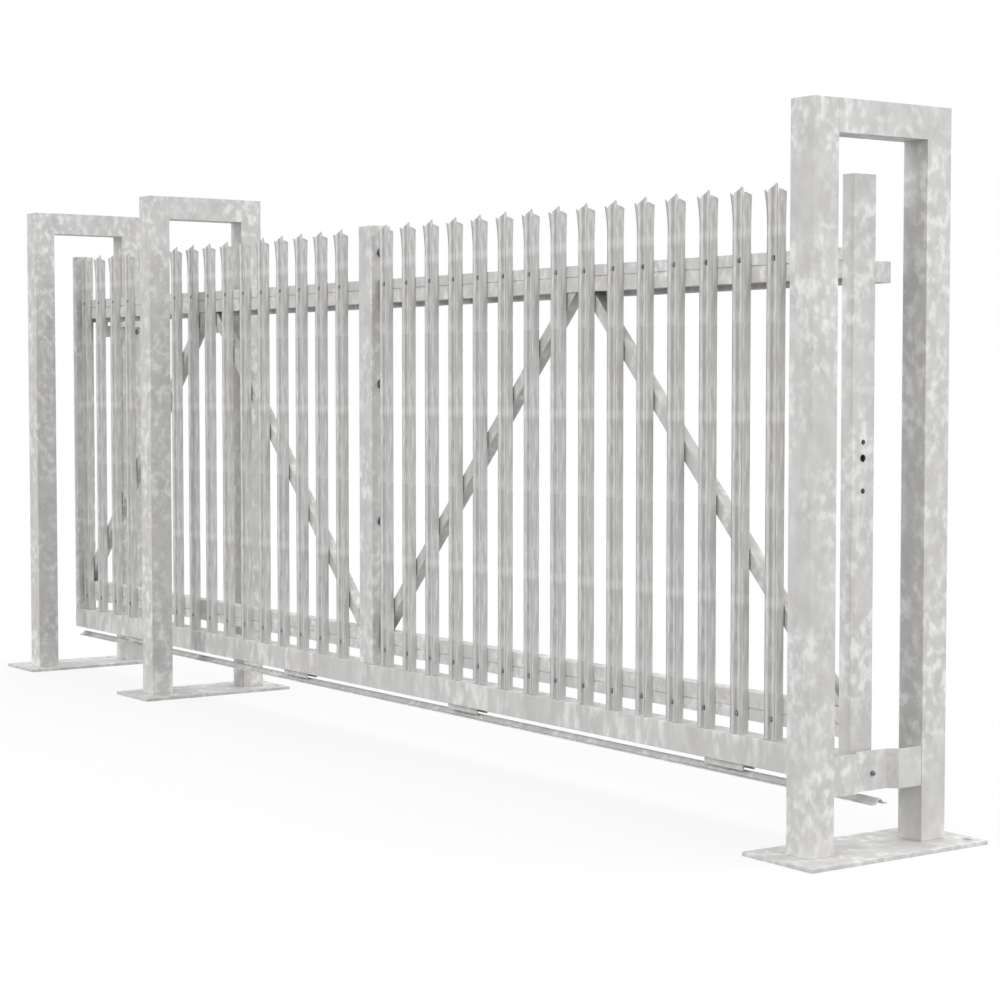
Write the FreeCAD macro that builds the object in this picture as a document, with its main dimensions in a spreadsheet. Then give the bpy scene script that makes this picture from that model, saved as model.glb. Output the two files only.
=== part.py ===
"""Sliding driveway gate: a palisade leaf of two bolted modules that rolls on a ground track
between three goal-post portals. Millimetres, +X towards the closing end, +Y away from the
pale side, +Z up. The origin is the middle of the underside of the middle portal's base plate."""
import FreeCAD
import Part
import Sketcher
import os
import re
from FreeCAD import Vector

# Driving dimensions: alias, value, meaning
SIZES = (
    ("opening", 3995, "clear width between the right and the middle portal"),
    ("run_back", 1186, "middle portal to left portal, centre to centre"),
    ("post_width", 95, "square section of posts and crossbars"),
    ("post_wall", 5, "wall of posts and crossbars"),
    ("portal_clear", 101, "crossbars above the leaf"),
    ("portal_depth", 535, "portal over both posts"),
    ("plate_width", 290, "base plate along the gate"),
    ("plate_length", 692, "base plate across the gate"),
    ("plate_thick", 12, "base plate thickness"),
    ("slot_long", 36, "anchor slot end to end"),
    ("slot_wide", 18, "anchor slot width"),
    ("slot_edge_x", 50, "anchor slot centre to the plate's end edge"),
    ("slot_edge_y", 36, "anchor slot centre to the plate's side edge"),
    ("track_bed", 128, "underside of the track above the base plates"),
    ("track_rise", 18, "track ridge above its underside"),
    ("track_width", 60, "track over both flanges"),
    ("track_foot", 36, "track ridge at its foot"),
    ("track_crown", 10, "flat on top of the track ridge"),
    ("track_sheet", 4, "track sheet thickness"),
    ("track_past", 5, "track beyond the right portal's outer face"),
    ("track_short", 13, "track's left end inside the closed leaf's rear end"),
    ("leaf_tail", 41, "closed leaf beyond the middle of the left portal"),
    ("leaf_depth", 85, "stile and beam depth"),
    ("end_overlap", 20.5, "closed leaf end beyond the inner faces of the right posts"),
    ("leaf_gap", 24, "beam above the track ridge"),
    ("beam_height", 88, "bottom beam height"),
    ("beam_wall", 4, "bottom beam wall"),
    ("stile_height", 1666, "stile above the beam"),
    ("stile_width", 47, "stile along the gate"),
    ("stile_wall", 4, "stile wall"),
    ("rail_size", 50, "square section of the rails"),
    ("rail_wall", 4, "rail wall"),
    ("flat_height", 38, "flat bar on the rail that takes the pales"),
    ("flat_thick", 6, "flat bar thickness"),
    ("seam_height", 2.5, "open seam between the flat bar and the rail tube"),
    ("seam_end", 5, "open seam between the rail's front and each stile"),
    ("seam_depth", 4, "depth of those seams from the rail's front"),
    ("rail_front", 11, "rail front face ahead of the leaf's middle plane"),
    ("top_drop", 204, "stile top to the top of the upper flat bar"),
    ("foot_rise", 45, "beam top to the bottom of the lower flat bar"),
    ("brace_size", 45, "square section of the braces"),
    ("brace_wall", 4, "brace wall"),
    ("brace_gap", 92, "between the braces' middle lines under the upper rail"),
    ("rising_foot", 5, "rising brace's middle line from the left stile, on the lower rail"),
    ("falling_foot", 39, "falling brace's middle line from the right stile, on the lower rail"),
    ("guide_size", 62, "square section of the guide rail"),
    ("guide_wall", 4, "guide rail wall"),
    ("guide_drop", 15, "guide rail below the underside of the upper rail"),
    ("guide_slot", 28, "slot under the guide rail"),
    ("pale_pitch", 155.4, "pale spacing"),
    ("left_pale_first", 58, "first pale from the left stile, left module"),
    ("right_pale_first", 69, "first pale from the left stile, right module"),
    ("pale_width", 70, "pale over its arms"),
    ("pale_depth", 24, "pale section depth"),
    ("pale_sheet", 3, "pale sheet thickness"),
    ("pale_arm", 8, "run of each outer arm"),
    ("pale_rib", 16, "flat of each rib"),
    ("pale_groove", 11.6, "flat of the middle groove"),
    ("groove_depth", 17, "middle groove behind the ribs"),
    ("pale_gap", 3, "pale foot above the beam"),
    ("prong_split", 112, "depth of the two slits in the pale's head"),
    ("prong_slit", 3, "width of each slit"),
    ("prong_middle", 40, "width of the middle prong"),
    ("prong_gable", 23, "fall of the middle prong's top from its tip to its sides"),
    ("prong_lower", 19, "outer prong's top below the tip"),
    ("prong_slant", 10, "fall of the outer prong's top towards its back"),
    ("prong_out", 10, "outer prong's top outwards of its foot"),
    ("prong_ahead", 3, "outer prong's top ahead of its foot"),
    ("prong_turn", 11, "turn of the outer prong's top against its foot, in degrees"),
    ("wheel_first", 630, "axle of each module's left wheel from the module's left end"),
    ("wheel_last", 575, "axle of each module's right wheel from the module's right end"),
    ("box_length", 182, "wheel box length"),
    ("box_width", 50, "wheel box over its plates"),
    ("box_plate", 6, "wheel box plate"),
    ("box_below", 22, "wheel box below the beam"),
    ("wheel_tread", 34, "wheel radius where its groove meets the edges of the track's crown"),
    ("wheel_rim", 43, "wheel radius at its rim"),
    ("spacer_radius", 16, "hexagonal spacer beside the wheel, over its corners"),
    ("axle_radius", 9, "wheel axle radius"),
    ("run_gap", 0.3, "running gap between faces that slide or roll"),
    ("bore_gap", 0.05, "radial play of a wheel on its axle"),
    ("stop_height", 115, "stop bracket height"),
    ("stop_low", 5, "stop bracket below the beam's underside"),
    ("stop_sheet", 5, "stop bracket thickness"),
    ("stop_inset", 2.5, "stop flanges behind the right portal's outer face"),
    ("stop_tab", 40, "stop bracket tabs along the posts"),
    ("stop_clear", 164, "opening between the stop flanges"),
    ("stop_recess", 24, "stop web behind its flanges"),
    ("stop_web", 116, "flat of the stop web"),
    ("buffer_radius", 24, "rubber buffer radius"),
    ("arm_leg", 53, "guide bracket leg height"),
    ("arm_foot", 50, "guide bracket foot width"),
    ("arm_plate", 6, "guide bracket plate"),
    ("arm_under", 17, "guide bracket below the guide rail"),
    ("pin_radius", 7, "guide roller pin radius"),
    ("nut_radius", 10, "hexagonal nut under the guide roller, over its corners"),
    ("roller_height", 36, "guide roller height"),
    ("lock_big", 11, "lock hole radius"),
    ("lock_small", 4, "lock screw hole radius"),
    ("lock_rise", 857, "lock hole above the beam"),
    ("lock_up", 46, "upper lock screw hole above the lock hole"),
    ("lock_down", 94, "lower lock screw hole below the lock hole"),
)

doc = FreeCAD.newDocument("sliding_gate")
sheet = doc.addObject("Spreadsheet::Sheet", "Dims")
for line, (alias, number, meaning) in enumerate(SIZES, start=1):
    sheet.set(f"A{line}", meaning)
    sheet.set(f"B{line}", str(number))
    sheet.setAlias(f"B{line}", alias)
doc.recompute()
ALIASES = {alias for alias, number, meaning in SIZES}
size = {alias: float(sheet.get(alias)) for alias in ALIASES}
nodes = []

# Places worked out from the driving dimensions, as expressions
RIGHT = "(opening + post_width)"
LEFT = "(-run_back)"
LEAF_RIGHT = "(opening + post_width / 2 + end_overlap)"
LEAF_LEFT = f"({LEFT} - leaf_tail)"
LEAF_LENGTH = f"({LEAF_RIGHT} - {LEAF_LEFT})"
LEAF_FRONT = "(-leaf_depth / 2)"
TRACK_Z = "(plate_thick + track_bed)"
RIDGE_Z = f"({TRACK_Z} + track_rise)"
BEAM_Z = f"({RIDGE_Z} + leaf_gap)"
BEAM_TOP = f"({BEAM_Z} + beam_height)"
LEAF_TOP = f"({BEAM_TOP} + stile_height)"
PORTAL_TOP = f"({LEAF_TOP} + portal_clear + post_width)"
LOW_FLAT_Z = f"({BEAM_TOP} + foot_rise)"
LOW_RAIL_TOP = f"({LOW_FLAT_Z} + flat_height + rail_size)"
TOP_RAIL_Z = f"({LEAF_TOP} - top_drop - flat_height - rail_size)"
GUIDE_Z = f"({TOP_RAIL_Z} - guide_drop)"
MODULE = f"({LEAF_LENGTH} / 2)"
JOINT = f"({LEAF_LEFT} + {MODULE})"
INNER = f"({MODULE} - 2 * stile_width)"
BOX_FRONT = "(-box_width / 2)"


def bound(expression):
    """Point every alias in an expression at the sheet."""
    return re.sub(r"[a-z_]+", lambda m: f"Dims.{m[0]}" if m[0] in ALIASES else m[0], str(expression))


def value(expression):
    """Work out an expression as a plain number."""
    return float(sheet.evalExpression(bound(expression)))


def bind(obj, **properties):
    """Bind properties of an object to expressions; a double underscore stands for a dot."""
    for name, expression in properties.items():
        obj.setExpression(name.replace("__", "."), bound(expression))


def place(obj, base):
    bind(obj, Placement__Base__x=base[0], Placement__Base__y=base[1], Placement__Base__z=base[2])


def box(name, base, extent):
    solid = doc.addObject("Part::Box", name)
    bind(solid, Length=extent[0], Width=extent[1], Height=extent[2])
    place(solid, base)
    return solid


TURNS = {"x": (Vector(0, 1, 0), 90), "y": (Vector(1, 0, 0), -90), "z": (Vector(0, 0, 1), 0)}


def cylinder(name, base, radius, height, axis):
    solid = doc.addObject("Part::Cylinder", name)
    bind(solid, Radius=radius, Height=height)
    solid.Placement.Rotation = FreeCAD.Rotation(*TURNS[axis])
    place(solid, base)
    return solid


def hexagon(name, base, radius, height, axis):
    solid = doc.addObject("Part::Prism", name)
    solid.Polygon = 6
    bind(solid, Circumradius=radius, Height=height)
    solid.Placement.Rotation = FreeCAD.Rotation(*TURNS[axis])
    place(solid, base)
    return solid


def fuse(name, solids):
    whole = doc.addObject("Part::MultiFuse", name)
    whole.Shapes = solids
    whole.Refine = True
    return whole


def cut(name, solid, tool):
    whole = doc.addObject("Part::Cut", name)
    whole.Base = solid
    whole.Tool = tool
    return whole


def node(label, obj):
    """Make an object one of the part's named nodes."""
    obj.Label = label
    nodes.append(obj)
    return obj


def together(label, solids):
    """Make a row of like pieces on one body a single node."""
    row = doc.addObject("Part::Compound", f"{label}_row")
    row.Links = solids
    return node(label, row)


def tube(name, base, extent, wall, axis, caps=("0", "0")):
    """A box hollowed along one axis, with a closing wall at each end where caps says so."""
    inner_base = [f"{base[i]} + {wall}" for i in range(3)]
    inner_extent = [f"{extent[i]} - 2 * {wall}" for i in range(3)]
    inner_base[axis] = f"{base[axis]} + {caps[0]}"
    inner_extent[axis] = f"{extent[axis]} - {caps[0]} - {caps[1]}"
    outer = box(f"{name}_outer", base, extent)
    inner = box(f"{name}_inner", inner_base, inner_extent)
    return cut(name, outer, inner)


def folded_sheet(points, thickness, along):
    """A sheet folded along a line of points, extruded; the sheet lies on one side of the line."""
    line = Part.makePolygon(points)
    face = line.makeOffset2D(thickness, join=2, fill=True, openResult=True)
    return face.extrude(along)


def feature(label, shape):
    obj = doc.addObject("Part::Feature", label)
    obj.Shape = shape
    return node(label, obj)


# Portals
def portal(side, centre):
    """Two posts, a crossbar between their heads and a base plate slotted along its far edge."""
    west = f"({centre} - post_width / 2)"
    for where, front in (("near", "(-portal_depth / 2)"), ("far", "(portal_depth / 2 - post_width)")):
        post = tube(f"{side}_{where}_tube", (west, front, "plate_thick"),
                    ("post_width", "post_width", f"{PORTAL_TOP} - plate_thick"), "post_wall", 2,
                    ("0", "post_wall"))
        node(f"{side}_{where}_post", post)
    bar = tube(f"{side}_bar_tube", (west, "(-portal_depth / 2 + post_width)",
                                    f"({PORTAL_TOP} - post_width)"),
               ("post_width", "(portal_depth - 2 * post_width)", "post_width"), "post_wall", 1)
    node(f"{side}_crossbar", bar)
    blank = box(f"{side}_plate_blank", (f"({centre} - plate_width / 2)", "(-plate_length / 2)", "0"),
                ("plate_width", "plate_length", "plate_thick"))
    slots = []
    reach = "((slot_long - slot_wide) / 2)"
    y = "(plate_length / 2 - slot_edge_y)"
    for tag, x_sign in (("left", "-"), ("right", "+")):
        x = f"({centre} {x_sign} (plate_width / 2 - slot_edge_x))"
        slots.append(box(f"{side}_{tag}_slot", (f"{x} - {reach}", f"{y} - slot_wide / 2", "0"),
                         (f"2 * {reach}", "slot_wide", "plate_thick")))
        for end, sign in (("west", "-"), ("east", "+")):
            slots.append(cylinder(f"{side}_{tag}_slot_{end}", (f"{x} {sign} {reach}", y, "0"),
                                  "slot_wide / 2", "plate_thick", "z"))
    node(f"{side}_base_plate", cut(f"{side}_plate_cut", blank, fuse(f"{side}_slots", slots)))


for side, centre in (("left", LEFT), ("middle", "0"), ("right", RIGHT)):
    portal(side, centre)


# Leaf frame
beam_tube = tube("beam_tube", (LEAF_LEFT, LEAF_FRONT, BEAM_Z), (LEAF_LENGTH, "leaf_depth", "beam_height"),
                 "beam_wall", 0, ("beam_wall", "beam_wall"))
AXLES = (f"({LEAF_LEFT} + wheel_first)", f"({JOINT} - wheel_last)",
         f"({JOINT} + wheel_first)", f"({LEAF_RIGHT} - wheel_last)")
pockets = [box(f"beam_pocket_{i}", (f"{x} - box_length / 2", BOX_FRONT, BEAM_Z),
               ("box_length", "box_width", "beam_wall"))
           for i, x in enumerate(AXLES, start=1)]
node("bottom_beam", cut("beam_cut", beam_tube, fuse("beam_pockets", pockets)))


def stile(name, west):
    return tube(f"{name}_tube", (west, LEAF_FRONT, BEAM_TOP), ("stile_width", "leaf_depth", "stile_height"),
                "stile_wall", 2, ("0", "stile_wall"))


def rail(label, west, low_z, flat_below):
    """A square tube with an upright flat bar on its front edge, which takes the pales; open seams
    run along their joint and beside the stiles."""
    joint_z = f"({low_z} + {'flat_height' if flat_below else 'rail_size'})"
    tube_z, flat_z = (joint_z, low_z) if flat_below else (low_z, joint_z)
    front = "(-rail_front)"
    bar = tube(f"{label}_tube", (west, front, tube_z), (INNER, "rail_size", "rail_size"), "rail_wall", 0)
    flat = box(f"{label}_flat", (west, front, flat_z), (INNER, "flat_thick", "flat_height"))
    seams = [box(f"{label}_seam", (west, front, f"{joint_z} - seam_height / 2"),
                 (INNER, "seam_depth", "seam_height"))]
    for end, start in (("west", west), ("east", f"({west} + {INNER} - seam_end)")):
        seams.append(box(f"{label}_{end}_seam", (start, front, low_z),
                         ("seam_end", "seam_depth", "flat_height + rail_size")))
    node(label, cut(f"{label}_bar", fuse(f"{label}_weld", [bar, flat]), fuse(f"{label}_seams", seams)))


def brace(label, foot_x, top_x, bay_x, lean):
    """One leg of the inverted V: a tube from the lower rail up to the upper one, trimmed by the
    rails and by the ends of its bay."""
    run = f"({lean} * ({foot_x} - {top_x}))"
    rise = f"({TOP_RAIL_Z} - {LOW_RAIL_TOP})"
    middle_y = "(-rail_front + rail_size / 2 - brace_size / 2)"
    half_x = f"(({foot_x} + {top_x}) / 2)"
    half_z = f"(({TOP_RAIL_Z} + {LOW_RAIL_TOP}) / 2)"
    length = f"(2 * ({run} + {rise}))"
    walls = []
    for part_name, shrink in (("outer", "0"), ("inner", "brace_wall")):
        bar = doc.addObject("Part::Box", f"{label}_{part_name}")
        bind(bar, Length=length, Width=f"brace_size - 2 * {shrink}", Height=f"brace_size - 2 * {shrink}")
        tilt = f"atan2({rise}; {run})"
        bar.Placement.Rotation = FreeCAD.Rotation(Vector(0, lean, 0), 45)
        bind(bar, Placement__Rotation__Angle=tilt)
        half = f"(brace_size / 2 - {shrink})"
        place(bar, (f"{half_x} - {length} / 2 * cos({tilt}) - {lean} * {half} * sin({tilt})",
                    f"{middle_y} + {shrink}",
                    f"{half_z} + {lean} * {length} / 2 * sin({tilt}) - {half} * cos({tilt})"))
        walls.append(bar)
    bay = box(f"{label}_bay", (bay_x[0], middle_y, LOW_RAIL_TOP),
              (f"{bay_x[1]} - {bay_x[0]}", "brace_size", rise))
    trimmed = doc.addObject("Part::Common", f"{label}_trim")
    trimmed.Base = cut(f"{label}_pipe", *walls)
    trimmed.Tool = bay
    node(label, trimmed)


for side, west in (("left", LEAF_LEFT), ("right", JOINT)):
    inner_west = f"({west} + stile_width)"
    inner_east = f"({inner_west} + {INNER})"
    node(f"{side}_module_left_stile", stile(f"{side}_module_left", west))
    right_stile = stile(f"{side}_module_right", inner_east)
    if side == "right":
        lock_z = f"({BEAM_TOP} + lock_rise)"
        wall_x = f"({LEAF_RIGHT} - stile_wall)"
        holes = [cylinder(f"lock_{name}", (wall_x, "0", z), radius, "stile_wall", "x")
                 for name, z, radius in (("hole", lock_z, "lock_big"),
                                         ("upper", f"{lock_z} + lock_up", "lock_small"),
                                         ("lower", f"{lock_z} - lock_down", "lock_small"))]
        right_stile = cut("lock_stile", right_stile, fuse("lock_holes", holes))
    node(f"{side}_module_right_stile", right_stile)
    rail(f"{side}_top_rail", inner_west, TOP_RAIL_Z, False)
    rail(f"{side}_bottom_rail", inner_west, LOW_FLAT_Z, True)
    rising, falling = f"({inner_west} + rising_foot)", f"({inner_east} - falling_foot)"
    apex = f"(({rising} + {falling}) / 2)"
    brace(f"{side}_rising_brace", rising, f"({apex} - brace_gap / 2)", (inner_west, apex), -1)
    brace(f"{side}_falling_brace", falling, f"({apex} + brace_gap / 2)", (apex, inner_east), 1)

# Guide rail: a slotted square channel on the back of the stiles
guide_tube = tube("guide_tube", (LEAF_LEFT, "(leaf_depth / 2)", GUIDE_Z),
                  (LEAF_LENGTH, "guide_size", "guide_size"), "guide_wall", 0, ("guide_wall", "guide_wall"))
GUIDE_Y = "(leaf_depth / 2 + guide_size / 2)"
slot = box("guide_slot_cut", (f"{LEAF_LEFT} + guide_wall", f"{GUIDE_Y} - guide_slot / 2", GUIDE_Z),
           (f"{LEAF_LENGTH} - 2 * guide_wall", "guide_slot", "guide_wall"))
node("guide_rail", cut("guide_channel", guide_tube, slot))


# Wheels in their boxes
TRACK_SLOPE = "((track_foot - track_crown) / 2 / (track_rise - track_sheet))"
WHEEL_HALF = f"(track_crown / 2 + (wheel_rim - wheel_tread) * {TRACK_SLOPE})"


def wheel_section():
    """Half section of a grooved wheel whose slopes match the sides of the track's ridge,
    as radius and offset along the axle."""
    bore = "(axle_radius + bore_gap)"
    groove = f"(wheel_tread - track_crown / 2 / {TRACK_SLOPE})"
    return [(bore, WHEEL_HALF), ("wheel_rim", WHEEL_HALF), (groove, "0"),
            ("wheel_rim", f"(0 - {WHEEL_HALF})"), (bore, f"(0 - {WHEEL_HALF})")]


def turned(label, points, base):
    """A body turned about the Y direction from a half section, set at a place."""
    body = doc.addObject("PartDesign::Body", f"{label}_body")
    sketch = body.newObject("Sketcher::SketchObject", f"{label}_section")
    plane = next(f for f in body.Origin.OriginFeatures if f.Role == "XY_Plane")
    sketch.AttachmentSupport = (plane, "")
    sketch.MapMode = "FlatFace"
    count = len(points)
    corners = [Vector(value(radius), value(offset), 0) for radius, offset in points]
    for i in range(count):
        sketch.addGeometry(Part.LineSegment(corners[i], corners[(i + 1) % count]))
    for i in range(count):
        sketch.addConstraint(Sketcher.Constraint("Coincident", i, 2, (i + 1) % count, 1))
    for i, (radius, offset) in enumerate(points):
        sizes = (("DistanceX", corners[i].x, radius), ("DistanceY", corners[i].y, offset))
        for kind, start, expression in sizes:
            index = sketch.addConstraint(Sketcher.Constraint(kind, i, 1, start))
            sketch.setExpression(f"Constraints[{index}]", bound(expression))
    turn = body.newObject("PartDesign::Revolution", f"{label}_turn")
    turn.Profile = sketch
    turn.ReferenceAxis = (sketch, ["V_Axis"])
    turn.Angle = 360
    place(body, base)
    return body


BOX_Z = f"({BEAM_Z} - box_below)"
BOX_HEIGHT = f"({BEAM_TOP} - beam_wall - {BOX_Z})"
AXLE_Z = f"({RIDGE_Z} + run_gap + wheel_tread)"
wheels = []
for i, x in enumerate(AXLES, start=1):
    west = f"({x} - box_length / 2)"
    blank = box(f"box_{i}_blank", (west, BOX_FRONT, BOX_Z), ("box_length", "box_width", BOX_HEIGHT))
    hollow = box(f"box_{i}_hollow", (west, f"({BOX_FRONT} + box_plate)", BOX_Z),
                 ("box_length", "box_width - 2 * box_plate", f"{BOX_HEIGHT} - box_plate"))
    axle = cylinder(f"box_{i}_axle", (x, BOX_FRONT, AXLE_Z), "axle_radius", "box_width", "y")
    spacer_length = f"(box_width / 2 - box_plate - {WHEEL_HALF} - run_gap)"
    spacers = [hexagon(f"box_{i}_{name}_spacer", (x, start, AXLE_Z), "spacer_radius", spacer_length, "y")
               for name, start in (("near", f"({BOX_FRONT} + box_plate)"),
                                   ("far", f"({WHEEL_HALF} + run_gap)"))]
    channel = cut(f"box_{i}_channel", blank, hollow)
    node(f"wheel_box_{i}", fuse(f"box_{i}", [channel, axle, *spacers]))
    wheels.append(turned(f"wheel_{i}", wheel_section(), (x, "0", AXLE_Z)))
together("wheels", wheels)


# Guide brackets on the far posts, with a roller in the guide rail
ARM_Z = f"({GUIDE_Z} - arm_under)"
rollers = []
for side, face, sign in (("left", f"({LEFT} + post_width / 2)", 1), ("middle", "(0 - post_width / 2)", -1)):
    front = f"({GUIDE_Y} - arm_foot / 2)"
    reach = f"(portal_depth / 2 - {front})"
    plate_x = face if sign > 0 else f"({face} - arm_plate)"
    foot_x = face if sign > 0 else f"({face} - arm_foot)"
    leg = box(f"{side}_arm_leg", (plate_x, front, f"{ARM_Z} - arm_leg"), ("arm_plate", reach, "arm_leg"))
    foot = box(f"{side}_arm_foot", (foot_x, front, f"{ARM_Z} - arm_plate"), ("arm_foot", reach, "arm_plate"))
    pin_x = f"({face} + {sign} * arm_foot / 2)"
    roller_z = f"({GUIDE_Z} + (guide_size - roller_height) / 2)"
    pin = cylinder(f"{side}_pin", (pin_x, GUIDE_Y, ARM_Z), "pin_radius",
                   f"{roller_z} + roller_height - {ARM_Z}", "z")
    nut = hexagon(f"{side}_nut", (pin_x, GUIDE_Y, ARM_Z), "nut_radius",
                  f"{roller_z} - run_gap - {ARM_Z}", "z")
    node(f"{side}_guide_bracket", fuse(f"{side}_arm", [leg, foot, pin, nut]))
    tyre = cylinder(f"{side}_roller_blank", (pin_x, GUIDE_Y, roller_z),
                    "guide_size / 2 - guide_wall - run_gap", "roller_height", "z")
    bore = cylinder(f"{side}_roller_bore", (pin_x, GUIDE_Y, roller_z), "pin_radius + bore_gap",
                    "roller_height", "z")
    rollers.append(cut(f"{side}_roller", tyre, bore))
together("guide_rollers", rollers)


# Ground track: a ridged strip with side flanges
track_start = value(f"{LEAF_LEFT} + track_short")
track_top = value(RIDGE_Z)
track_end = value(f"{RIGHT} + post_width / 2 + track_past")
flange_z = track_top - size["track_rise"] + size["track_sheet"]
track_line = [Vector(track_start, y, z) for y, z in (
    (-size["track_width"] / 2, flange_z), (-size["track_foot"] / 2, flange_z),
    (-size["track_crown"] / 2, track_top), (size["track_crown"] / 2, track_top),
    (size["track_foot"] / 2, flange_z), (size["track_width"] / 2, flange_z))]
feature("ground_track", folded_sheet(track_line, size["track_sheet"], Vector(track_end - track_start, 0, 0)))

# Stop bracket across the right portal, with its rubber buffer
STOP_FACE = f"({RIGHT} + post_width / 2 - stop_inset)"
WEB_BACK = f"({STOP_FACE} - stop_recess - stop_sheet)"
face_x = value(STOP_FACE)
web_x = face_x - size["stop_recess"]
post_y = size["portal_depth"] / 2 - size["post_width"]
stop_z = value(BEAM_Z) - size["stop_low"]
half_line = [(web_x, size["stop_web"] / 2), (face_x, size["stop_clear"] / 2), (face_x, post_y),
             (face_x - size["stop_tab"], post_y)]
stop_line = [Vector(x, -y, stop_z) for x, y in reversed(half_line)]
stop_line += [Vector(x, y, stop_z) for x, y in half_line]
feature("stop_bracket", folded_sheet(stop_line, -size["stop_sheet"], Vector(0, 0, size["stop_height"])))
BUFFER_X = f"({LEAF_RIGHT} + run_gap)"
node("stop_buffer", cylinder("buffer_body", (BUFFER_X, "0", f"{BEAM_Z} + beam_height / 2"),
                             "buffer_radius", f"{WEB_BACK} - {BUFFER_X}", "x"))


# Pales; the outer prongs take sections at these shares of their height
CURL = (0, 0.4, 0.7, 1)


def pale():
    """A W-section pale standing on the origin, its head split into a gabled middle prong and
    two outer prongs that curl outwards."""
    half, depth, reach = size["pale_width"] / 2, size["pale_depth"], size["pale_width"]
    length = size["stile_height"] - size["pale_gap"]
    split_z = length - size["prong_split"]
    rib = Vector(half - size["pale_arm"], 0, 0)
    right = [Vector(size["pale_groove"] / 2, size["groove_depth"], 0),
             Vector(rib.x - size["pale_rib"], 0, 0), rib, Vector(half, depth, 0)]
    line = [Vector(-p.x, p.y, 0) for p in reversed(right)] + right
    sheet_face = Part.makePolygon(line).makeOffset2D(-size["pale_sheet"], join=2, fill=True, openResult=True)
    section = sheet_face.common(Part.makePlane(2 * reach, depth, Vector(-reach, 0, 0))).Faces[0]
    shaft = section.extrude(Vector(0, 0, split_z))

    # The gable falls evenly along the folded sheet from the middle of the groove
    middle = size["prong_middle"] / 2
    knots = [Vector(0, size["groove_depth"], 0), right[0], right[1], Vector(middle, 0, 0)]
    runs = [0.0]
    for start, end in zip(knots, knots[1:]):
        runs.append(runs[-1] + start.distanceToPoint(end))
    gable = [(p.x, length - size["prong_gable"] * run / runs[-1]) for p, run in zip(knots, runs)]
    outline = [(-middle, split_z), (middle, split_z), *reversed(gable), *((-x, z) for x, z in gable[1:])]
    tip = Part.Face(Part.makePolygon([Vector(x, -reach, z) for x, z in outline + outline[:1]]))
    upper = section.extrude(Vector(0, 0, size["prong_split"])).translated(Vector(0, 0, split_z))
    solids = [shaft, upper.common(tip.extrude(Vector(0, 2 * reach, 0)))]

    # An outer prong: its section shifts and turns along a parabola
    inner = middle + size["prong_slit"]
    rise = size["prong_split"] - size["prong_lower"]
    side_face = section.common(Part.makePlane(reach, depth, Vector(inner, 0, 0))).Faces[0]
    wires = []
    for share in CURL:
        wire = side_face.OuterWire.copy()
        wire.rotate(rib, Vector(0, 0, 1), size["prong_turn"] * share ** 2)
        wire.translate(Vector(size["prong_out"], -size["prong_ahead"], 0) * share ** 2)
        wire.translate(Vector(0, 0, split_z + rise * share))
        wires.append(wire)
    top = split_z + rise
    slant = Part.Face(Part.makePolygon([Vector(0, y, z) for y, z in (
        (0, top), (depth, top - size["prong_slant"]), (depth, top + 1), (0, top + 1), (0, top))]))
    prong = Part.makeLoft(wires, True, True).cut(slant.extrude(Vector(reach, 0, 0)))
    solids += [prong, prong.mirror(Vector(0, 0, 0), Vector(1, 0, 0))]
    return solids[0].multiFuse(solids[1:]).removeSplitter()


pale_shape = pale()
pale_y = -size["rail_front"] - size["pale_depth"]
pale_z = value(BEAM_TOP) + size["pale_gap"]
for side, west in (("left", LEAF_LEFT), ("right", JOINT)):
    first = value(f"{west} + stile_width + {side}_pale_first")
    count = int(value(f"({INNER} - 2 * {side}_pale_first) / pale_pitch")) + 1
    row = [pale_shape.translated(Vector(first + i * size["pale_pitch"], pale_y, pale_z))
           for i in range(count)]
    feature(f"{side}_pales", Part.makeCompound(row))

doc.recompute()
failed = [obj.Name for obj in doc.Objects if {"Invalid", "Error"} & set(obj.State)]
if failed:
    raise RuntimeError(f"failed objects: {failed}")
for obj in nodes:
    if obj.Shape.isNull() or not obj.Shape.isValid() or not obj.Shape.Solids:
        raise RuntimeError(f"bad shape: {obj.Label}")
os.makedirs("parts", exist_ok=True)
for obj in nodes:
    obj.Shape.exportStep(f"parts/{obj.Label}.step")
print(len(nodes), "nodes written")
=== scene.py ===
import math

import bpy
from mathutils import Matrix, Vector


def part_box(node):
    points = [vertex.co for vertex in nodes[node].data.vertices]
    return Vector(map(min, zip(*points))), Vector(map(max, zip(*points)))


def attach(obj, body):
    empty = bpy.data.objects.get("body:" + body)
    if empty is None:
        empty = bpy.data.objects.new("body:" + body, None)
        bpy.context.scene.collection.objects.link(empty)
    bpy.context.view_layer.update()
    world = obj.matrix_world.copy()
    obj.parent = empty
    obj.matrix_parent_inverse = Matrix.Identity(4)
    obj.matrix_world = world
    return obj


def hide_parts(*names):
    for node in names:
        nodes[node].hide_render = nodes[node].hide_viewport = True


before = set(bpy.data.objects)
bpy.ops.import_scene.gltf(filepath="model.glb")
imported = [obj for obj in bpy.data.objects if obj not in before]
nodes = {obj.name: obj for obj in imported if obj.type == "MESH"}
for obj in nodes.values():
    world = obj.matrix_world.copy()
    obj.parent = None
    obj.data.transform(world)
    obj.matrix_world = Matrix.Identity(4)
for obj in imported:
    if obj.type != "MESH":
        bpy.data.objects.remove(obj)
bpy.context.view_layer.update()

SIDES = ("left", "right")

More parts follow.
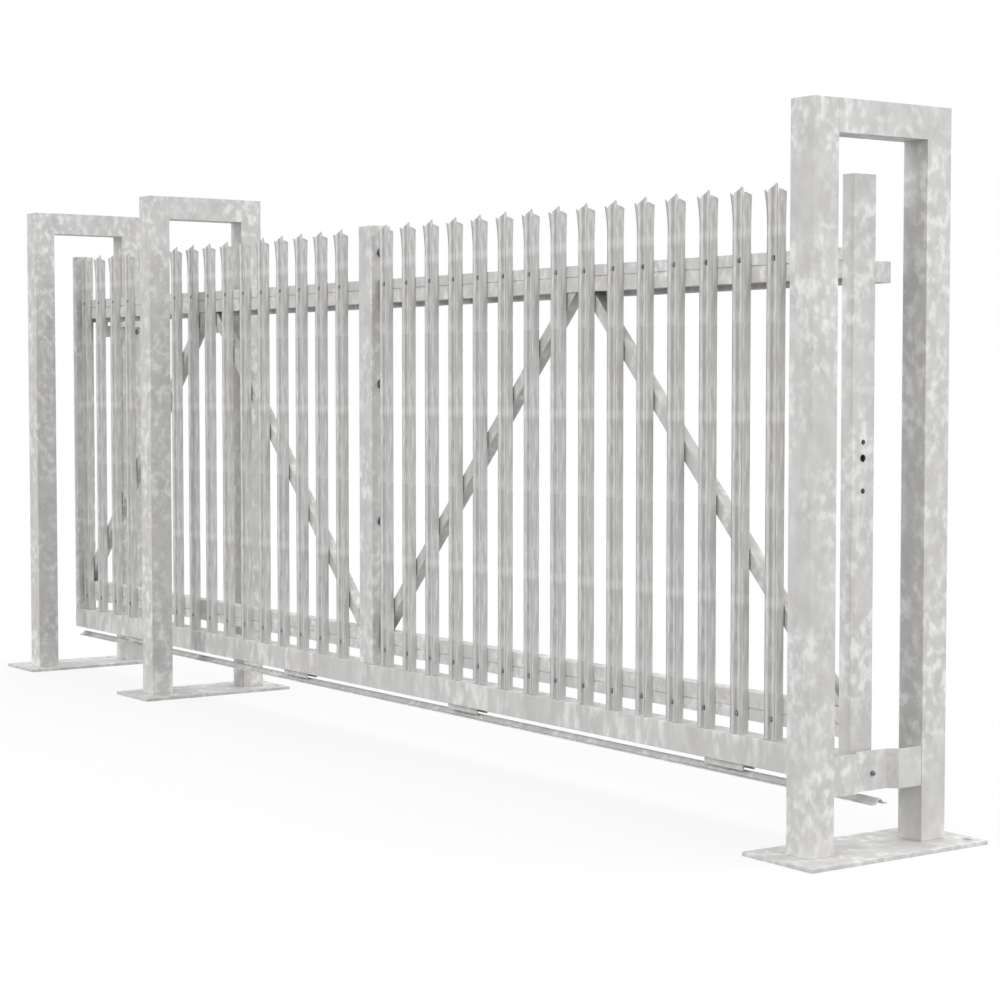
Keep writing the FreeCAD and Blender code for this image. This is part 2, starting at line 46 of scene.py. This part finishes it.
# Colours, linear
WHITE = (1, 1, 1, 1)
ZINC_DULL = (0.545, 0.538, 0.526, 1)
ZINC_BRIGHT = (0.850, 0.845, 0.835, 1)
PALE_DULL = (0.530, 0.524, 0.512, 1)
PALE_BRIGHT = (0.760, 0.755, 0.745, 1)
# Painted shade colour, darkening the braces in their corners
PAINTED_SHADE_COLOUR = (0.130, 0.128, 0.124, 1)
BOLT_DARK = (0.075, 0.090, 0.098, 1)
BOLT_LIGHT = (0.260, 0.290, 0.300, 1)
STUD_DARK = (0.210, 0.205, 0.230, 1)
STUD_LIGHT = (0.420, 0.410, 0.445, 1)
STEEL_DARK = (0.22, 0.22, 0.23, 1)
STEEL_LIGHT = (0.42, 0.42, 0.43, 1)
NYLON_DULL = (0.70, 0.69, 0.65, 1)
NYLON_LIGHT = (0.84, 0.83, 0.80, 1)
RUBBER_DARK = (0.018, 0.018, 0.018, 1)
RUBBER_GREY = (0.050, 0.050, 0.050, 1)

# Zinc coat: grain sizes in metres, then the limits and weights of its layers
POST_GRAIN = (0.030, 0.031, 0.038)
BEAM_GRAIN = (0.034, 0.034, 0.085)
PALE_GRAIN = (0.009, 0.009, 0.070)
SPECK_GRAIN = (0.006, 0.006, 0.010)
DRIFT_SPREAD, CLOUD_SPREAD = 2.2, 7
FLAME_LIMITS, DRIFT_LIMITS, CLOUD_LIMITS = (0.42, 0.72), (0.25, 0.75), (0.26, 0.60)
FLAME_WEIGHT, DRIFT_WEIGHT, SPECK_WEIGHT = 0.74, 0.30, 0.10
FLAME_BEND = 0.15
SPECK_BUMP, SPECK_HEIGHT = 0.06, 0.0006
ZINC_ROUGH, FLAME_POLISH, ZINC_METAL = 0.60, 0.12, 0.12

# Painted shade in corners: how open a corner is where the painted shade starts and where it is full, and its
# share there
PAINTED_SHADE_LIMITS, PAINTED_SHADE_SHARE, PAINTED_SHADE_SAMPLES = (0.97, 0.58), 0.72, 6
BRACE_SHADE_REACH = 0.08

# The coat repeats from pale to pale and along each pale
PALE_PITCH = 0.1554
PALE_REPEAT = 0.555
PALE_PHASE = 0.412
# Light cross bands in each repeat: middle, half width at the foot and at the top of the fade, strength
BANDS = ((0.0, 0.085, 0.0, 0.24), (0.273, 0.028, 0.002, 0.44), (0.357, 0.045, 0.005, 0.22))

# Finishes other than zinc
PLAIN_DETAIL, PLAIN_LIMITS = 4.0, (0.3, 0.7)
PLAIN_BUMP, PLAIN_HEIGHT = 0.08, 0.0004


class Graph:
    """A node tree, built by short calls."""

    def __init__(self, tree):
        self.tree = tree

    def put(self, socket, value):
        if isinstance(value, bpy.types.NodeSocket):
            self.tree.links.new(value, socket)
        else:
            socket.default_value = value

    def add(self, kind, inputs=None, **settings):
        made = self.tree.nodes.new(kind)
        for key, value in settings.items():
            setattr(made, key, value)
        for key, value in (inputs or {}).items():
            self.put(made.inputs[key], value)
        return made

    def math(self, operation, a, b=0.0):
        return self.add("ShaderNodeMath", {0: a, 1: b}, operation=operation).outputs[0]

    def fade(self, value, start, end, low=0.0, high=1.0, kind="SMOOTHSTEP"):
        """Goes from low to high while a value goes from start to end."""
        limits = {"Value": value, "From Min": start, "From Max": end, "To Min": low, "To Max": high}
        return self.add("ShaderNodeMapRange", limits, interpolation_type=kind).outputs[0]

    def either(self, share, a, b):
        """Surface or background a, and b by its share."""
        return self.add("ShaderNodeMixShader", {0: share, 1: a, 2: b}).outputs[0]

    def seen(self):
        """1 for rays from the camera and for reflected or transmitted ones, which all see white."""
        path = self.add("ShaderNodeLightPath").outputs
        best = path["Is Camera Ray"]
        for name in ("Is Glossy Ray", "Is Transmission Ray"):
            best = self.math("MAXIMUM", best, path[name])
        return best


class Shader(Graph):
    """A material's node tree."""

    def __init__(self, name):
        self.material = bpy.data.materials.new(name)
        self.material.use_nodes = True
        super().__init__(self.material.node_tree)
        self.surface = self.tree.nodes["Principled BSDF"]

    def place(self):
        return self.add("ShaderNodeTexCoord").outputs["Object"]

    def noise(self, where, grain, detail=2.0, distortion=0.0):
        """Noise from 0 to 1 whose grains have the given sizes in metres."""
        scale = [1 / g for g in grain]
        mapped = self.add("ShaderNodeMapping", {"Vector": where, "Scale": scale}).outputs[0]
        made = self.add("ShaderNodeTexNoise", {"Vector": mapped, "Scale": 1.0, "Detail": detail,
                                               "Distortion": distortion})
        return made.outputs[0]

    def blend(self, share, a, b):
        made = self.add("ShaderNodeMix", {"Factor": share, "A": a, "B": b}, data_type="RGBA")
        return made.outputs["Result"]

    def bump(self, height, strength, distance):
        made = self.add("ShaderNodeBump", {"Height": height, "Strength": strength, "Distance": distance})
        self.put(self.surface.inputs["Normal"], made.outputs[0])

    def finish(self, colour, rough, metal):
        self.put(self.surface.inputs["Base Color"], colour)
        self.put(self.surface.inputs["Roughness"], rough)
        self.put(self.surface.inputs["Metallic"], metal)
        return self.material


def pale_place(shader, first_x):
    """Coordinates that repeat from pale to pale, and the place along each repeat of the coat."""
    split = shader.add("ShaderNodeSeparateXYZ", {0: shader.place()}).outputs
    across = shader.math("SUBTRACT", split[0], first_x - PALE_PITCH / 2)
    across = shader.math("FLOORED_MODULO", across, PALE_PITCH)
    along = shader.math("SUBTRACT", split[2], PALE_PHASE)
    along = shader.math("FLOORED_MODULO", along, PALE_REPEAT)
    joined = shader.add("ShaderNodeCombineXYZ", {0: across, 1: split[1], 2: along})
    return joined.outputs[0], along


def pale_bands(shader, along):
    """Light cross bands of the coat along each repeat."""
    total = 0.0
    for middle, reach, core, strength in BANDS:
        away = shader.math("ABSOLUTE", shader.math("SUBTRACT", along, middle))
        band = shader.math("MULTIPLY", shader.fade(away, reach, core), strength)
        total = shader.math("ADD", total, band)
    return total


def zinc(name, grain, dull, bright, first_x=None, shade_reach=0.0):
    """Zinc coat; it repeats from pale to pale after first_x, and has shade painted into its colour in corners
    up to a reach.
    """
    shader = Shader(name)
    where, share = shader.place(), 0.0
    if first_x is not None:
        where, along = pale_place(shader, first_x)
        share = pale_bands(shader, along)
    flames = shader.fade(shader.noise(where, grain, distortion=FLAME_BEND), *FLAME_LIMITS)
    drifts = shader.fade(shader.noise(where, [g * DRIFT_SPREAD for g in grain], detail=3.0), *DRIFT_LIMITS)
    clouds = shader.fade(shader.noise(where, [g * CLOUD_SPREAD for g in grain]), *CLOUD_LIMITS)
    specks = shader.noise(where, SPECK_GRAIN)
    patches = shader.math("MULTIPLY", flames, clouds)
    for layer, weight in ((patches, FLAME_WEIGHT), (drifts, DRIFT_WEIGHT), (specks, SPECK_WEIGHT)):
        share = shader.math("ADD", share, shader.math("MULTIPLY", layer, weight))
    colour = shader.blend(share, dull, bright)
    if shade_reach:
        # Painted shade: the colour darkens where ambient occlusion finds other parts close by, as beside the
        # pales and under the rails
        made = shader.add("ShaderNodeAmbientOcclusion", {"Distance": shade_reach}, samples=PAINTED_SHADE_SAMPLES)
        painted_shade = shader.math("MULTIPLY", shader.fade(made.outputs["AO"], *PAINTED_SHADE_LIMITS), PAINTED_SHADE_SHARE)
        colour = shader.blend(painted_shade, colour, PAINTED_SHADE_COLOUR)
    shader.bump(specks, SPECK_BUMP, SPECK_HEIGHT)
    rough = shader.math("SUBTRACT", ZINC_ROUGH, shader.math("MULTIPLY", flames, FLAME_POLISH))
    return shader.finish(colour, rough, ZINC_METAL)


def plain(name, dark, light, grain, rough, metal):
    """A finish that wanders between two colours."""
    shader = Shader(name)
    cloud = shader.noise(shader.place(), (grain, grain, grain), PLAIN_DETAIL)
    shader.bump(cloud, PLAIN_BUMP, PLAIN_HEIGHT)
    return shader.finish(shader.blend(shader.fade(cloud, *PLAIN_LIMITS), dark, light), rough, metal)


PALE_INSET = {"left": 0.058, "right": 0.069}
pale_first = {side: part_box(f"{side}_module_left_stile")[1].x + PALE_INSET[side] for side in SIDES}
POST_ZINC = zinc("post_zinc", POST_GRAIN, ZINC_DULL, ZINC_BRIGHT)
# The braces carry painted shade in their corners, beside the pales and rails
BRACE_ZINC = zinc("brace_zinc", POST_GRAIN, ZINC_DULL, ZINC_BRIGHT, shade_reach=BRACE_SHADE_REACH)
BEAM_ZINC = zinc("beam_zinc", BEAM_GRAIN, ZINC_DULL, ZINC_BRIGHT)
PALE_ZINC = {side: zinc(f"{side}_pale_zinc", PALE_GRAIN, PALE_DULL, PALE_BRIGHT, pale_first[side])
             for side in SIDES}
BOLT_ZINC = plain("bolt_zinc", BOLT_DARK, BOLT_LIGHT, grain=0.008, rough=0.45, metal=0.50)
STUD_ZINC = plain("stud_zinc", STUD_DARK, STUD_LIGHT, grain=0.008, rough=0.45, metal=0.50)
WHEEL_STEEL = plain("wheel_steel", STEEL_DARK, STEEL_LIGHT, grain=0.02, rough=0.42, metal=0.80)
NYLON = plain("roller_nylon", NYLON_DULL, NYLON_LIGHT, grain=0.03, rough=0.50, metal=0.0)
RUBBER = plain("buffer_rubber", RUBBER_DARK, RUBBER_GREY, grain=0.015, rough=0.75, metal=0.0)

finishes = {"bottom_beam": BEAM_ZINC, "wheels": WHEEL_STEEL, "guide_rollers": NYLON, "stop_buffer": RUBBER}
finishes.update({f"{side}_pales": PALE_ZINC[side] for side in SIDES})
finishes.update({name: BRACE_ZINC for name in nodes if name.endswith("_brace")})

# Rounded edges of tubes, sheets and plates; the first word that fits a node's name counts
EDGES = {"right_module_right_stile": 0.0004, "post": 0.0012, "crossbar": 0.0004, "base_plate": 0.0012,
         "beam": 0.003, "stile": 0.0035, "guide_rail": 0.0025, "rail": 0.0012, "brace": 0.004, "pales": 0.001,
         "track": 0.0012, "stop_bracket": 0.0008, "bracket": 0.0012, "wheel_box": 0.001, "buffer": 0.003,
         "rollers": 0.002, "wheels": 0.0015}
EDGE_ANGLE = math.radians(25)
EDGE_STEPS = 2
WELD_REACH = 0.00002
FLAT_WEIGHT = 100


def round_edges(obj, width):
    """Round the sharp edges of an object, with its large faces left flat."""
    weld = obj.modifiers.new("weld", "WELD")
    weld.merge_threshold = WELD_REACH
    bevel = obj.modifiers.new("edges", "BEVEL")
    bevel.width = width
    bevel.segments = EDGE_STEPS
    bevel.limit_method = "ANGLE"
    bevel.angle_limit = EDGE_ANGLE
    bevel.use_clamp_overlap = True
    flat = obj.modifiers.new("flat_faces", "WEIGHTED_NORMAL")
    flat.weight = FLAT_WEIGHT


for name, obj in nodes.items():
    obj.data.materials.clear()
    obj.data.materials.append(finishes.get(name, POST_ZINC))
    round_edges(obj, next(width for word, width in EDGES.items() if word in name))


def link(name, data):
    """A new object in the scene."""
    made = bpy.data.objects.new(name, data)
    bpy.context.scene.collection.objects.link(made)
    return made


# Small pieces as joined meshes
ROUND_SIDES, HEX_SIDES = 20, 6
SHARP_ANGLE = math.radians(35)
CUP_STEPS, CUP_TOP = 6, 0.08
NUT_SHOULDER, NUT_TOP = 0.88, 0.86
DISC_RIM = 0.25


class Pile:
    """Vertices and faces of many like pieces, joined into one mesh."""

    def __init__(self):
        self.points, self.faces = [], []

    def add(self, points, faces):
        start = len(self.points)
        self.points += points
        self.faces += [[start + i for i in face] for face in faces]

    def turned(self, profile, matrix, count=ROUND_SIDES, ring=False):
        """A solid of revolution about local Z from (radius, height) pairs, capped or closed into a ring."""
        points, faces = [], []
        for radius, height in profile:
            for k in range(count):
                angle = 2 * math.pi * k / count
                points.append(matrix @ Vector((radius * math.cos(angle), radius * math.sin(angle), height)))
        rows = len(profile)
        for row in range(rows if ring else rows - 1):
            above = (row + 1) % rows * count
            for k in range(count):
                a, b = k, (k + 1) % count
                faces.append([row * count + a, row * count + b, above + b, above + a])
        if not ring:
            last = (rows - 1) * count
            faces.append(list(reversed(range(count))))
            faces.append(list(range(last, last + count)))
        self.add(points, faces)

    def obj(self, name, finish, body, slot):
        mesh = bpy.data.meshes.new(name)
        mesh.from_pydata(self.points, [], self.faces)
        mesh.materials.append(finish)
        mesh.polygons.foreach_set("use_smooth", [True] * len(mesh.polygons))
        mesh.set_sharp_from_angle(angle=SHARP_ANGLE)
        made = link(name, mesh)
        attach(made, body)
        return made


def facing(point, direction):
    """A matrix that takes local Z to a direction at a point."""
    turn = Vector(direction).to_track_quat("Z", "Y").to_matrix().to_4x4()
    return Matrix.Translation(Vector(point)) @ turn


def cup_head(pile, point, direction, radius, height):
    """A domed bolt head standing on a face."""
    profile = [(radius, 0.0)]
    for k in range(1, CUP_STEPS):
        angle = k / CUP_STEPS * math.pi / 2
        profile.append((radius * math.cos(angle), height * math.sin(angle)))
    profile.append((radius * CUP_TOP, height))
    pile.turned(profile, facing(point, direction))


def hex_part(pile, point, direction, radius, height):
    """A hexagon head or nut with a chamfered rim."""
    profile = [(radius, 0.0), (radius, height * NUT_SHOULDER), (radius * NUT_TOP, height)]
    pile.turned(profile, facing(point, direction), HEX_SIDES)


def disc(pile, point, direction, radius, height):
    """A washer or a bolt's end with a chamfered rim."""
    rim = height * DISC_RIM
    pile.turned([(radius, 0.0), (radius, height - rim), (radius - rim, height)], facing(point, direction))


def stack(pile, point, direction, parts):
    """Parts of a bolt set one on the other, outwards from a face."""
    foot, way = Vector(point), Vector(direction)
    for shape, radius, height in parts:
        shape(pile, foot, direction, radius, height)
        foot = foot + way * height


# Pales with rounded folds and curled prongs, in the places of the solid ones
PALE_COUNT = 16
PALE_LOW, PALE_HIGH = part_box("left_pales")[0].z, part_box("left_pales")[1].z
PALE_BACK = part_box("left_pales")[1].y
HALF, DEPTH, SHEET = 0.035, 0.024, 0.003
PALE_FRONT = PALE_BACK - DEPTH
ARM_RUN, ARM_TRIM, RIB, GROOVE, GROOVE_DEPTH = 0.008, 0.0011, 0.016, 0.0116, 0.0140
FOLD, FOLD_STEPS = 0.0060, 6
SPLIT, SLIT, MIDDLE, GABLE = 0.112, 0.003, 0.040, 0.023
PRONG_LOWER, PRONG_SLANT, PRONG_ROWS = 0.019, 0.010, 9
PRONG_OUT, PRONG_AHEAD, PRONG_TURN = 0.010, 0.003, math.radians(11)
PRONG_LEAN = 0.35
RIB_END = Vector((HALF - ARM_RUN, 0.0))
SLIT_MIDDLE = MIDDLE / 2 + SLIT / 2


def left_of(direction):
    return Vector((-direction.y, direction.x))


def middle_line():
    """The middle of the sheet on the pale's right half, as points from the groove to the arm's tip."""
    arm = (Vector((HALF, DEPTH)) - RIB_END).normalized()
    front = [Vector((0, GROOVE_DEPTH)), Vector((GROOVE / 2, GROOVE_DEPTH)), Vector((RIB_END.x - RIB, 0)),
             RIB_END, Vector((HALF, DEPTH)) - arm * ARM_TRIM]
    ways = [(b - a).normalized() for a, b in zip(front, front[1:])]
    moved = [front[0] + left_of(ways[0]) * SHEET / 2]
    for point, before, after in zip(front[1:-1], ways, ways[1:]):
        both = left_of(before) + left_of(after)
        moved.append(point + both * (SHEET / 2) / (1 + before.dot(after)))
    return moved + [front[-1] + left_of(ways[-1]) * SHEET / 2]


def half_stations():
    """Points along the middle line with the sheet's backward direction, folds rounded, and stations
    at both edges of the slit."""
    line = middle_line()
    ways = [(b - a).normalized() for a, b in zip(line, line[1:])]
    made = [(line[0], left_of(ways[0]))]
    for point, before, after in zip(line[1:-1], ways, ways[1:]):
        angle = math.acos(before.dot(after))
        side = 1 if before.cross(after) > 0 else -1
        start = point - before * FOLD * math.tan(angle / 2)
        centre = start + left_of(before) * side * FOLD
        for k in range(FOLD_STEPS + 1):
            back = Matrix.Rotation(side * angle * k / FOLD_STEPS, 2) @ left_of(before)
            made.append((centre - back * side * FOLD, back))
        if point.x < MIDDLE / 2 < RIB_END.x and point.y < GROOVE_DEPTH / 2:
            for x in (MIDDLE / 2, MIDDLE / 2 + SLIT):
                if made[-1][0].x < x < RIB_END.x:
                    made.append((Vector((x, SHEET / 2)), Vector((0, 1))))
    return made + [(line[-1], left_of(ways[-1]))]


def mirrored(stations):
    return [(Vector((-p.x, p.y)), Vector((-n.x, n.y))) for p, n in reversed(stations)]


def folded(pile, rows):
    """A closed folded sheet from rows of front and back points, bottom row first."""
    wide, tall = len(rows[0]), len(rows)
    points = [p for row in rows for pair in row for p in pair]

    def at(i, j, side):
        return 2 * (j * wide + i) + side

    faces = []
    last, top = wide - 1, tall - 1
    for j in range(top):
        for i in range(last):
            faces.append([at(i, j, 0), at(i + 1, j, 0), at(i + 1, j + 1, 0), at(i, j + 1, 0)])
            faces.append([at(i, j, 1), at(i, j + 1, 1), at(i + 1, j + 1, 1), at(i + 1, j, 1)])
        faces.append([at(0, j, 0), at(0, j + 1, 0), at(0, j + 1, 1), at(0, j, 1)])
        faces.append([at(last, j, 0), at(last, j, 1), at(last, j + 1, 1), at(last, j + 1, 0)])
    for i in range(last):
        faces.append([at(i, 0, 0), at(i, 0, 1), at(i + 1, 0, 1), at(i + 1, 0, 0)])
        faces.append([at(i, top, 0), at(i + 1, top, 0), at(i + 1, top, 1), at(i, top, 1)])
    pile.add(points, faces)


def faces_of(station, height, move=None):
    """The front and back points of the sheet at a station, shifted by move where one is given."""
    point, back = station
    pair = []
    for flat in (point - back * SHEET / 2, point + back * SHEET / 2):
        if move is not None:
            flat = move(flat)
        pair.append(Vector((flat.x, flat.y, height)))
    return pair


def curl(side, share):
    """How an outer prong's points shift and turn at a share of its height."""
    bend = PRONG_LEAN * share + (1 - PRONG_LEAN) * share ** 2
    turn = Matrix.Rotation(PRONG_TURN * bend, 2)
    shift = Vector((PRONG_OUT, -PRONG_AHEAD)) * bend

    def move(point):
        moved = turn @ (Vector((point.x * side, point.y)) - RIB_END) + RIB_END + shift
        return Vector((moved.x * side, moved.y))
    return move


def one_pale():
    """The shaft, the gabled middle prong and the two curled prongs, standing on the origin."""
    pile = Pile()
    right = half_stations()
    whole = mirrored(right[1:]) + right
    length = PALE_HIGH - PALE_LOW
    split = length - SPLIT
    folded(pile, [[faces_of(s, z) for s in whole] for z in (0.0, split)])
    inside = [s for s in whole if abs(s[0].x) < SLIT_MIDDLE]
    runs = [0.0]
    for a, b in zip(inside, inside[1:]):
        runs.append(runs[-1] + (b[0] - a[0]).length)
    tops = [length - GABLE * abs(2 * run / runs[-1] - 1) for run in runs]
    folded(pile, [[faces_of(s, split) for s in inside], [faces_of(s, z) for s, z in zip(inside, tops)]])
    for side in (-1, 1):
        prong = [s for s in whole if s[0].x * side > SLIT_MIDDLE]
        rises = [SPLIT - PRONG_LOWER - PRONG_SLANT * max(0.0, p.y) / DEPTH for p, n in prong]
        shares = [j / (PRONG_ROWS - 1) for j in range(PRONG_ROWS)]
        folded(pile, [[faces_of(s, split + rise * share, curl(side, share)) for s, rise in zip(prong, rises)]
                      for share in shares])
    return pile


def pale_rows():
    pattern = one_pale()
    for side in SIDES:
        pile = Pile()
        for i in range(PALE_COUNT):
            place = Vector((pale_first[side] + i * PALE_PITCH, PALE_FRONT, PALE_LOW))
            pile.add([p + place for p in pattern.points], pattern.faces)
        row = pile.obj(f"{side}_pale_row", PALE_ZINC[side], "leaf", "galvanised_steel")
        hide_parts(f"{side}_pales")


# Bolts: the parts of each kind from its face outwards, with radius and height
PALE_BOLT_HEAD = ((disc, 0.0058, 0.004), (cup_head, 0.0080, 0.0095))
PALE_BOLT_NUT = ((disc, 0.010, 0.002), (hex_part, 0.0087, 0.0065), (disc, 0.004, 0.004))
MODULE_BOLT_HEAD = ((disc, 0.019, 0.003), (hex_part, 0.0150, 0.0100))
MODULE_BOLT_NUT = ((disc, 0.019, 0.003), (hex_part, 0.0150, 0.013), (disc, 0.008, 0.006))
STOP_STUD = ((disc, 0.0090, 0.002), (hex_part, 0.0078, 0.0060), (cup_head, 0.0042, 0.0060))
BRACKET_BOLT = ((disc, 0.012, 0.002), (hex_part, 0.0095, 0.0064))

# Places of bolts and holes
FRONT, BACK, RIGHTWARD, LEFTWARD = (0, -1, 0), (0, 1, 0), (1, 0, 0), (-1, 0, 0)
FLAT_HALF, FLAT_SHEET = 0.019, 0.006
MODULE_BOLT_HEIGHTS = (1.833, 1.338, 0.817)
LOCK_SCREW_HEIGHTS = (1.173, 1.033)
# Thin dark rings of painted shade around the lock's screw holes: inner and outer radius, height
RIM_IN, RIM_OUT, RIM_HIGH = 0.0038, 0.0074, 0.0003
STOP_SHEET = 0.005
BRACKET_SHEET, BRACKET_BOLT_RISE, BRACKET_BOLT_DEPTHS = 0.006, 0.024, (0.198, 0.242)


def pale_bolts():
    """Bolts that hold the pales to the flat bars of the rails."""
    groove_face, flat_back = PALE_FRONT + GROOVE_DEPTH, PALE_BACK + FLAT_SHEET
    heights = (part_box("left_bottom_rail")[0].z + FLAT_HALF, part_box("left_top_rail")[1].z - FLAT_HALF)
    for side in SIDES:
        pile = Pile()
        for i in range(PALE_COUNT):
            x = pale_first[side] + i * PALE_PITCH
            for z in heights:
                stack(pile, (x, groove_face, z), FRONT, PALE_BOLT_HEAD)
                stack(pile, (x, flat_back, z), BACK, PALE_BOLT_NUT)
        pile.obj(f"{side}_pale_bolts", BOLT_ZINC, "leaf", "galvanised_steel")


def module_bolts():
    """Bolts that join the two modules through their middle stiles."""
    head_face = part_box("right_module_left_stile")[1].x
    nut_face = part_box("left_module_right_stile")[0].x
    pile = Pile()
    for z in MODULE_BOLT_HEIGHTS:
        stack(pile, (head_face, 0.0, z), RIGHTWARD, MODULE_BOLT_HEAD)
        stack(pile, (nut_face, 0.0, z), LEFTWARD, MODULE_BOLT_NUT)
    pile.obj("module_bolts", BOLT_ZINC, "leaf", "galvanised_steel")


def lock_hole_shade_rings():
    """Thin dark rings around the lock's screw holes: painted shade that makes the holes look darker and
    wider.
    """
    closing_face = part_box("right_module_right_stile")[1].x
    rim = [(RIM_IN, 0.0), (RIM_OUT, 0.0), (RIM_OUT, RIM_HIGH), (RIM_IN, RIM_HIGH)]
    pile = Pile()
    for z in LOCK_SCREW_HEIGHTS:
        pile.turned(rim, facing((closing_face, 0.0, z), RIGHTWARD), ring=True)
    pile.obj("lock_hole_shade_rings", RUBBER, "leaf", "galvanised_steel")


def stop_bolt():
    """The stop buffer's stud and nut, on the outer face of the stop bracket."""
    low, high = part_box("stop_buffer")
    pile = Pile()
    stack(pile, (high.x + STOP_SHEET, 0.0, (low.z + high.z) / 2), RIGHTWARD, STOP_STUD)
    pile.obj("stop_bolt", STUD_ZINC, "frame", "galvanised_steel")


def bracket_bolts():
    """Bolts that hold the guide brackets to the far posts."""
    pile = Pile()
    for side, way in (("left", RIGHTWARD), ("middle", LEFTWARD)):
        low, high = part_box(f"{side}_guide_bracket")
        face = low.x + BRACKET_SHEET if way == RIGHTWARD else high.x - BRACKET_SHEET
        for y in BRACKET_BOLT_DEPTHS:
            stack(pile, (face, y, low.z + BRACKET_BOLT_RISE), way, BRACKET_BOLT)
    pile.obj("bracket_bolts", BOLT_ZINC, "frame", "galvanised_steel")


pale_rows()
pale_bolts()
module_bolts()
lock_hole_shade_rings()
stop_bolt()
bracket_bolts()

# Floor, light and camera
FLOOR_REACH = 60.0
FLOOR_SHADOW = 0.25
FLOOR_SEEN = (0.82, 0.82, 0.82, 1)
FLOOR_BOUNCE = (0.22, 0.22, 0.22, 1)
SKY_LOW, SKY_HIGH = 1.75, 0.90
SKY_FRONT = 0.45
# Soft suns: heading from the pale side towards the run-back, elevation, strength, spread
SUNS = {"key_high": (9, 32, 0.62, 0.35), "key_low": (9, 10, 0.42, 0.35), "side": (-90, 15, 0.14, 0.6),
        "top_back": (210, 60, 0.50, 0.6)}
SUN_AWAY = 8
PANEL_AT, PANEL_AIM, PANEL_SIZE, PANEL_POWER = (8.0, 1.0, 2.2), (4.1, 0.0, 1.0), 2.5, 19.0
CAMERA_AT = (8.786, -4.569, 1.344)
CAMERA_DIP, CAMERA_HEADING = 0.0518, 0.9607
CAMERA_LENS, CAMERA_SENSOR, CAMERA_REACH = 81.68, 36.0, 200.0


def white_floor():
    """White where it is seen, with the object's shadow, and a duller bounce of light."""
    shader = Shader("floor")
    glow = shader.add("ShaderNodeEmission", {"Color": WHITE, "Strength": 1.0}).outputs[0]
    shade = shader.add("ShaderNodeBsdfDiffuse", {"Color": FLOOR_SEEN}).outputs[0]
    bounce = shader.add("ShaderNodeBsdfDiffuse", {"Color": FLOOR_BOUNCE}).outputs[0]
    whole = shader.either(shader.seen(), bounce, shader.either(FLOOR_SHADOW, glow, shade))
    shader.tree.nodes.remove(shader.surface)
    shader.put(shader.tree.nodes["Material Output"].inputs[0], whole)
    return shader.material


def lay_floor():
    corners = [(x * FLOOR_REACH, y * FLOOR_REACH, 0) for x, y in ((-1, -1), (1, -1), (1, 1), (-1, 1))]
    mesh = bpy.data.meshes.new("floor")
    mesh.from_pydata(corners, [], [(0, 1, 2, 3)])
    mesh.materials.append(white_floor())
    floor = link("floor", mesh)


def studio_sky():
    """A soft sky, strongest low down and dimmer on the pale side, that is seen as plain white."""
    world = bpy.data.worlds.new("studio")
    world.use_nodes = True
    bpy.context.scene.world = world
    sky = Graph(world.node_tree)
    direction = sky.add("ShaderNodeTexCoord").outputs["Generated"]
    split = sky.add("ShaderNodeSeparateXYZ", {0: direction}).outputs
    rise = sky.fade(split[2], 0.0, 1.0, SKY_LOW, SKY_HIGH, kind="LINEAR")
    front = sky.fade(split[1], -1.0, 0.0, SKY_FRONT, 1.0, kind="LINEAR")
    soft = sky.tree.nodes["Background"]
    sky.put(soft.inputs["Color"], WHITE)
    sky.put(soft.inputs["Strength"], sky.math("MULTIPLY", rise, front))
    bright = sky.add("ShaderNodeBackground", {"Color": WHITE, "Strength": 1.0})
    whole = sky.either(sky.seen(), soft.outputs[0], bright.outputs[0])
    sky.put(sky.tree.nodes["World Output"].inputs[0], whole)


def lamp(name, kind, power, place, source):
    """A lamp that shines from a direction."""
    data = bpy.data.lights.new(name, kind)
    data.energy = power
    made = link(name, data)
    made.location = place
    made.rotation_euler = source.to_track_quat("Z", "Y").to_euler()
    made.visible_camera = False
    return data


def hang_lamps():
    for name, (heading, rise, power, spread) in SUNS.items():
        turn, lift = math.radians(heading), math.radians(rise)
        source = Vector((-math.sin(turn) * math.cos(lift), -math.cos(turn) * math.cos(lift), math.sin(lift)))
        lamp(name, "SUN", power, source * SUN_AWAY, source).angle = spread
    source = Vector(PANEL_AT) - Vector(PANEL_AIM)
    lamp("side_panel", "AREA", PANEL_POWER, PANEL_AT, source).size = PANEL_SIZE


def set_camera():
    data = bpy.data.cameras.new("camera")
    data.lens = CAMERA_LENS
    data.sensor_width = CAMERA_SENSOR
    data.clip_end = CAMERA_REACH
    camera = link("camera", data)
    camera.location = CAMERA_AT
    camera.rotation_euler = (math.pi / 2 - CAMERA_DIP, 0, CAMERA_HEADING)
    bpy.context.scene.camera = camera


lay_floor()
studio_sky()
hang_lamps()
set_camera()
bpy.context.scene.view_settings.view_transform = "Standard"
